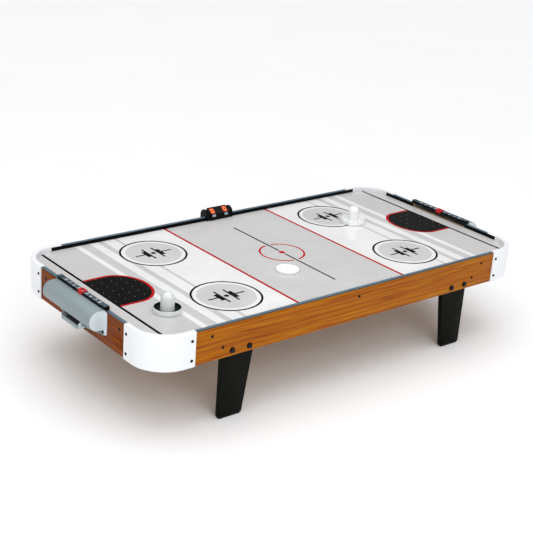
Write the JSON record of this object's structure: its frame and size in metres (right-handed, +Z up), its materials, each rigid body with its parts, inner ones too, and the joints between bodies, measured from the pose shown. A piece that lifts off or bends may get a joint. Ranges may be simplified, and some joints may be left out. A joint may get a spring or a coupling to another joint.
{
  "type": "tabletop air hockey table",
  "caption": "Tabletop air hockey table on short legs: perforated rink board in wood aprons, rounded corner guards, goal boxes, score counters, lit scorer, fan, puck and strikers.",
  "frame": {"origin": "on the floor under the middle of the table", "axes": "+X along the table's length, +Y across it towards the side with the lit scorer, +Z up"},
  "size_m": [1.0854, 0.5268, 0.2433],
  "materials": {
    "playfield": "glossy film-faced board with printed rink markings",
    "raw_board": "raw fibreboard",
    "wood_laminate": "satin wood-grain laminate",
    "rail_trim": "satin extrusion",
    "white_plastic": "satin moulded",
    "black_screws": "black oxide",
    "zinc": "zinc plated",
    "black_board": "black laminate, satin",
    "foam_rubber": "matte",
    "grey_plastic": "satin moulded",
    "black_plastic": "satin moulded",
    "red_plastic": "glossy moulded",
    "led_display": "glossy, lit red segments",
    "circuit_board": "solder mask",
    "button_grey": "matte",
    "copper_coil": "enamelled copper wire",
    "puck_plastic": "glossy",
    "striker_plastic": "glossy moulded",
    "felt": "woollen felt"
  },
  "bodies": {
    "table": {"batten_screws": "black_screws", "bottom_panel": "raw_board", "brace_screws": "black_screws", "corner_blocks": "raw_board", "corner_guard_back_left": "white_plastic", "corner_guard_back_right": "white_plastic", "corner_guard_front_left": "white_plastic", "corner_guard_front_right": "white_plastic", "cross_brace_left": "raw_board", "cross_brace_right": "raw_board", "end_apron_left": "wood_laminate", "end_apron_right": "wood_laminate", "end_batten_left": "raw_board", "end_batten_right": "raw_board", "end_rails_left": "rail_trim", "end_rails_right": "rail_trim", "fan_grille": "black_plastic", "fan_housing": "black_plastic", "fan_screws": "zinc", "fan_stator": "copper_coil", "foot_pads": "foam_rubber", "goal_box_left": "grey_plastic", "goal_box_right": "grey_plastic", "goal_box_screws": "black_screws", "guard_screws": "black_screws", "leg_back_left": "black_board", "leg_back_right": "black_board", "leg_bolts": "black_screws", "leg_front_left": "black_board", "leg_front_right": "black_board", "leg_nuts": "zinc", "leg_washers": "black_screws", "playfield_board": "playfield", "power_jack": "black_plastic", "score_bar_left": "black_plastic", "score_bar_right": "black_plastic", "scorer_back_cover": "black_plastic", "scorer_circuit_board": "circuit_board", "scorer_digits": "led_display", "scorer_housing": "black_plastic", "side_apron_back": "wood_laminate", "side_apron_front": "wood_laminate", "side_batten_back": "raw_board", "side_batten_front": "raw_board", "side_rail_back": "rail_trim", "side_rail_front": "rail_trim", "switch_body": "black_plastic"},
    "score_slider_left": {"score_slider_left": "red_plastic"},
    "score_slider_right": {"score_slider_right": "red_plastic"},
    "score_button_left": {"score_button_left": "button_grey"},
    "score_button_right": {"score_button_right": "button_grey"},
    "switch_rocker": {"switch_rocker": "black_plastic"},
    "fan_rotor": {"fan_impeller": "black_plastic", "fan_shaft": "zinc"},
    "puck": {"puck": "puck_plastic"},
    "striker_left": {"striker_left": "striker_plastic", "striker_felt_left": "felt"},
    "striker_right": {"striker_right": "striker_plastic", "striker_felt_right": "felt"}
  },
  "joints": [
    {"name": "score_slider_left_slide", "type": "slide", "parent": "table", "child": "score_slider_left", "axis": [0, 1, 0], "range_m": [-0.071, 0.071]},
    {"name": "score_slider_right_slide", "type": "slide", "parent": "table", "child": "score_slider_right", "axis": [0, 1, 0], "range_m": [-0.071, 0.071]},
    {"name": "score_button_left_press", "type": "slide", "parent": "table", "child": "score_button_left", "axis": [0, 1, 0], "range_m": [0, 0.0008], "stiffness_N_per_m": 300},
    {"name": "score_button_right_press", "type": "slide", "parent": "table", "child": "score_button_right", "axis": [0, 1, 0], "range_m": [0, 0.0008], "stiffness_N_per_m": 300},
    {"name": "switch_rocker_tilt", "type": "hinge", "parent": "table", "child": "switch_rocker", "pos_m": [0.15, 0.2535, 0.154], "axis": [0, 0, 1], "range_deg": [-14, 0]},
    {"name": "fan_spin", "type": "hinge", "parent": "table", "child": "fan_rotor", "pos_m": [0, 0, 0.156], "axis": [0, 0, 1], "continuous": true},
    {"name": "puck_slide", "type": "slide", "parent": "table", "child": "puck", "axis": [1, 0, 0], "range_m": [-0.28, 0.278]},
    {"name": "striker_left_slide", "type": "slide", "parent": "table", "child": "striker_left", "axis": [0, 1, 0], "range_m": [-0.079, 0.35]},
    {"name": "striker_right_slide", "type": "slide", "parent": "table", "child": "striker_right", "axis": [0, 1, 0], "range_m": [-0.285, 0.144]}
  ]
}
